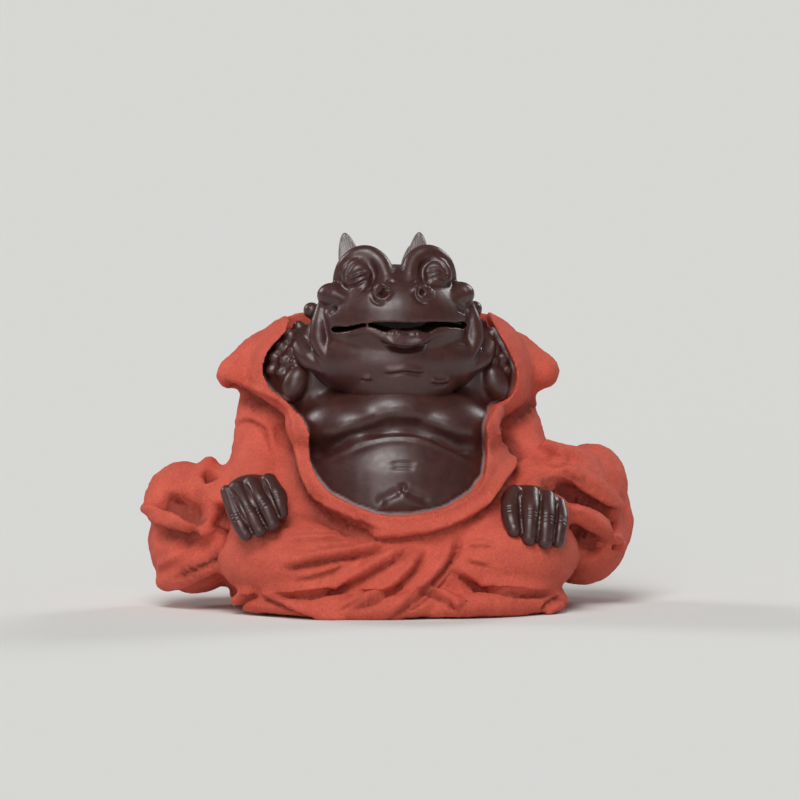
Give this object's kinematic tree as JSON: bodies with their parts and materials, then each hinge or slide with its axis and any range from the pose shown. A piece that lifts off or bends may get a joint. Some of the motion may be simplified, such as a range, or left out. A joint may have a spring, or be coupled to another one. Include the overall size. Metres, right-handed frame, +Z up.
{
  "type": "seated toad tea pet",
  "caption": "Unglazed clay figurine of a seated toad with a smooth dark body, wrapped in an open rough red robe, on a flat base.",
  "frame": {"origin": "middle of the flat base the figure rests on", "axes": "+Z up, the toad faces -Y, +X is the toad's left"},
  "size_m": [0.1003, 0.0747, 0.0745],
  "materials": {
    "dark_clay": "satin, unglazed",
    "red_clay": "matt, rough, unglazed"
  },
  "bodies": {
    "root": {"toad": "dark_clay", "robe": "red_clay", "right_hand": "dark_clay", "left_hand": "dark_clay"}
  },
  "joints": []
}
